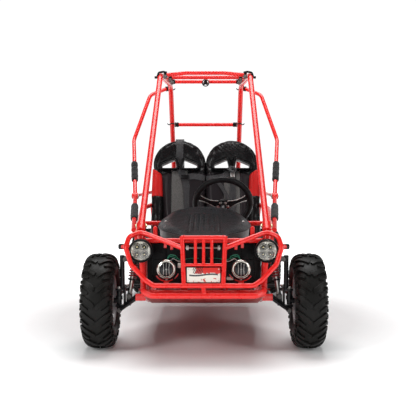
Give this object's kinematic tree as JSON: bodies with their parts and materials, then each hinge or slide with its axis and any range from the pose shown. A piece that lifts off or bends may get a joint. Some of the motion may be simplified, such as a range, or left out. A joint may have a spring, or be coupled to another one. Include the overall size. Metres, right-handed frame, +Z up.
{
  "type": "buggy kart",
  "caption": "Two-seat youth off-road buggy kart: tubular frame and roll cage, bucket seats, double-wishbone steered front end and chain-driven live rear axle.",
  "frame": {"origin": "on the ground at the middle of the overall length and width", "axes": "+Z up, nose towards -Y, the driver's seat and wheel on +X, which is the kart's own left"},
  "size_m": [1.02, 1.9192, 1.27],
  "materials": {
    "red_coat": "gloss powder coat",
    "dark_red_coat": "satin powder coat",
    "black_steel": "satin black coat",
    "bright_steel": "machined",
    "chrome_shell": "polished",
    "cast_alloy": "as cast",
    "black_moulding": "fine grained moulding",
    "lamp_housing": "gloss moulding",
    "foam_grip": "closed-cell foam",
    "tyre_rubber": "moulded rubber",
    "seat_vinyl": "glossy vinyl",
    "spring_coat": "gloss coat",
    "badge_face": "satin coat"
  },
  "bodies": {
    "frame": {"main_frame": "red_coat", "floor_pan": "dark_red_coat", "nose_guard": "red_coat", "badge_plate": "badge_face", "hood": "black_moulding", "roof_front_bar": "red_coat", "roof_rear_bar": "red_coat", "rear_cross_bar": "red_coat", "engine_block": "cast_alloy", "fuel_tank": "black_steel", "muffler": "black_steel", "brake_caliper": "black_steel", "drive_chain": "bright_steel", "cage_left": "red_coat", "side_bar_left": "red_coat", "side_grip_upper_left": "foam_grip", "side_grip_lower_left": "foam_grip", "headlight_left": "lamp_housing", "fog_lamp_left": "chrome_shell", "seat_left": "seat_vinyl", "cage_right": "red_coat", "side_bar_right": "red_coat", "side_grip_upper_right": "foam_grip", "side_grip_lower_right": "foam_grip", "headlight_right": "lamp_housing", "fog_lamp_right": "chrome_shell", "seat_right": "seat_vinyl"},
    "steering": {"steering_wheel": "black_moulding", "steering_shaft": "black_steel"},
    "rack": {"steering_rack": "bright_steel"},
    "throttle": {"throttle_pedal": "cast_alloy"},
    "brake": {"brake_pedal": "cast_alloy"},
    "axle": {"rear_axle": "bright_steel", "axle_sprocket": "bright_steel", "brake_disc": "bright_steel", "rim_rear_left": "cast_alloy", "rim_rear_right": "cast_alloy", "tyre_rear_left": "tyre_rubber", "tyre_rear_right": "tyre_rubber"},
    "clutch": {"clutch_sprocket": "bright_steel"},
    "lower_arm_left": {"lower_arm_left": "black_steel"},
    "upper_arm_left": {"upper_arm_left": "black_steel"},
    "carrier_left": {"kingpin_carrier_left": "black_steel"},
    "knuckle_left": {"knuckle_left": "black_steel"},
    "front_wheel_left": {"tyre_front_left": "tyre_rubber", "rim_front_left": "cast_alloy"},
    "tie_rod_left": {"tie_rod_left": "bright_steel"},
    "shock_top_left": {"shock_rod_left": "bright_steel"},
    "shock_foot_left": {"shock_body_left": "black_steel", "shock_spring_left": "spring_coat"},
    "lower_arm_right": {"lower_arm_right": "black_steel"},
    "upper_arm_right": {"upper_arm_right": "black_steel"},
    "carrier_right": {"kingpin_carrier_right": "black_steel"},
    "knuckle_right": {"knuckle_right": "black_steel"},
    "front_wheel_right": {"tyre_front_right": "tyre_rubber", "rim_front_right": "cast_alloy"},
    "tie_rod_right": {"tie_rod_right": "bright_steel"},
    "shock_top_right": {"shock_rod_right": "bright_steel"},
    "shock_foot_right": {"shock_body_right": "black_steel", "shock_spring_right": "spring_coat"}
  },
  "joints": [
    {"name": "steering_turn", "type": "hinge", "parent": "frame", "child": "steering", "pos_m": [0.09, -0.04335, 0.596], "axis": [0, 0.866, 0.5], "range_deg": [-75, 75]},
    {"name": "rack_slide", "type": "slide", "parent": "frame", "child": "rack", "axis": [1, 0, 0], "range_m": [-0.05187, 0.05187]},
    {"name": "suspension_left", "type": "hinge", "parent": "frame", "child": "lower_arm_left", "pos_m": [0.2775, -0.64335, 0.228], "axis": [0, -1, 0], "range_deg": [-3, 12], "stiffness_Nm_per_rad": 320, "springref_deg": -4.3},
    {"name": "carrier_tilt_left", "type": "hinge", "parent": "lower_arm_left", "child": "carrier_left", "pos_m": [0.362, -0.64335, 0.165], "axis": [0, -1, 0], "range_deg": [-13, 13]},
    {"name": "upper_arm_swing_left", "type": "hinge", "parent": "frame", "child": "upper_arm_left", "pos_m": [0.2475, -0.64335, 0.445], "axis": [0, -1, 0], "range_deg": [-13, 13]},
    {"name": "shock_swing_left", "type": "hinge", "parent": "frame", "child": "shock_top_left", "pos_m": [0.285, -0.64335, 0.452], "axis": [0, -1, 0], "range_deg": [-2, 2]},
    {"name": "shock_stroke_left", "type": "slide", "parent": "shock_top_left", "child": "shock_foot_left", "axis": [0.1588, 0, -0.9873], "range_m": [-0.012, 0.012], "deforming": ["shock_spring_left"]},
    {"name": "kingpin_steer_left", "type": "hinge", "parent": "carrier_left", "child": "knuckle_left", "pos_m": [0.366, -0.64335, 0.203], "axis": [0, 0, 1], "range_deg": [-26, 26]},
    {"name": "tie_rod_swing_left", "type": "hinge", "parent": "knuckle_left", "child": "tie_rod_left", "pos_m": [0.346, -0.52535, 0.25], "axis": [0, 0, 1], "range_deg": [-26, 26]},
    {"name": "front_wheel_spin_left", "type": "hinge", "parent": "knuckle_left", "child": "front_wheel_left", "pos_m": [0.4425, -0.64335, 0.203], "axis": [1, 0, 0], "continuous": true},
    {"name": "suspension_right", "type": "hinge", "parent": "frame", "child": "lower_arm_right", "pos_m": [-0.2775, -0.64335, 0.228], "axis": [0, 1, 0], "range_deg": [-3, 12], "stiffness_Nm_per_rad": 320, "springref_deg": -4.3},
    {"name": "carrier_tilt_right", "type": "hinge", "parent": "lower_arm_right", "child": "carrier_right", "pos_m": [-0.362, -0.64335, 0.165], "axis": [0, 1, 0], "range_deg": [-13, 13]},
    {"name": "upper_arm_swing_right", "type": "hinge", "parent": "frame", "child": "upper_arm_right", "pos_m": [-0.2475, -0.64335, 0.445], "axis": [0, 1, 0], "range_deg": [-13, 13]},
    {"name": "shock_swing_right", "type": "hinge", "parent": "frame", "child": "shock_top_right", "pos_m": [-0.285, -0.64335, 0.452], "axis": [0, 1, 0], "range_deg": [-2, 2]},
    {"name": "shock_stroke_right", "type": "slide", "parent": "shock_top_right", "child": "shock_foot_right", "axis": [-0.1588, 0, -0.9873], "range_m": [-0.012, 0.012], "deforming": ["shock_spring_right"]},
    {"name": "kingpin_steer_right", "type": "hinge", "parent": "carrier_right", "child": "knuckle_right", "pos_m": [-0.366, -0.64335, 0.203], "axis": [0, 0, 1], "range_deg": [-26, 26]},
    {"name": "tie_rod_swing_right", "type": "hinge", "parent": "knuckle_right", "child": "tie_rod_right", "pos_m": [-0.346, -0.52535, 0.25], "axis": [0, 0, 1], "range_deg": [-26, 26]},
    {"name": "front_wheel_spin_right", "type": "hinge", "parent": "knuckle_right", "child": "front_wheel_right", "pos_m": [-0.4425, -0.64335, 0.203], "axis": [1, 0, 0], "continuous": true},
    {"name": "rear_axle_spin", "type": "hinge", "parent": "frame", "child": "axle", "pos_m": [0, 0.75665, 0.203], "axis": [1, 0, 0], "continuous": true},
    {"name": "clutch_spin", "type": "hinge", "parent": "frame", "child": "clutch", "pos_m": [-0.135, 0.55665, 0.35], "axis": [1, 0, 0], "continuous": true},
    {"name": "throttle_press", "type": "hinge", "parent": "frame", "child": "throttle", "pos_m": [0.085, -0.66335, 0.226], "axis": [1, 0, 0], "range_deg": [0, 20], "stiffness_Nm_per_rad": 4, "springref_deg": -8.59},
    {"name": "brake_press", "type": "hinge", "parent": "frame", "child": "brake", "pos_m": [0.195, -0.66335, 0.226], "axis": [1, 0, 0], "range_deg": [0, 20], "stiffness_Nm_per_rad": 4, "springref_deg": -8.59}
  ],
  "couplings": [
    {"joint": "rack_slide", "follows": "steering_turn", "m_per_rad": -0.038097},
    {"joint": "carrier_tilt_left", "follows": "suspension_left", "ratio": -1},
    {"joint": "upper_arm_swing_left", "follows": "suspension_left", "ratio": 1},
    {"joint": "shock_swing_left", "follows": "suspension_left", "ratio": 0.04208},
    {"joint": "shock_stroke_left", "follows": "suspension_left", "m_per_rad": -0.04372},
    {"joint": "kingpin_steer_left", "follows": "steering_turn", "ratio": 0.33333},
    {"joint": "tie_rod_swing_left", "follows": "steering_turn", "ratio": -0.33333},
    {"joint": "carrier_tilt_right", "follows": "suspension_right", "ratio": -1},
    {"joint": "upper_arm_swing_right", "follows": "suspension_right", "ratio": 1},
    {"joint": "shock_swing_right", "follows": "suspension_right", "ratio": 0.04208},
    {"joint": "shock_stroke_right", "follows": "suspension_right", "m_per_rad": -0.04372},
    {"joint": "kingpin_steer_right", "follows": "steering_turn", "ratio": 0.33333},
    {"joint": "tie_rod_swing_right", "follows": "steering_turn", "ratio": -0.33333},
    {"joint": "clutch_spin", "follows": "rear_axle_spin", "ratio": 2.8333}
  ]
}
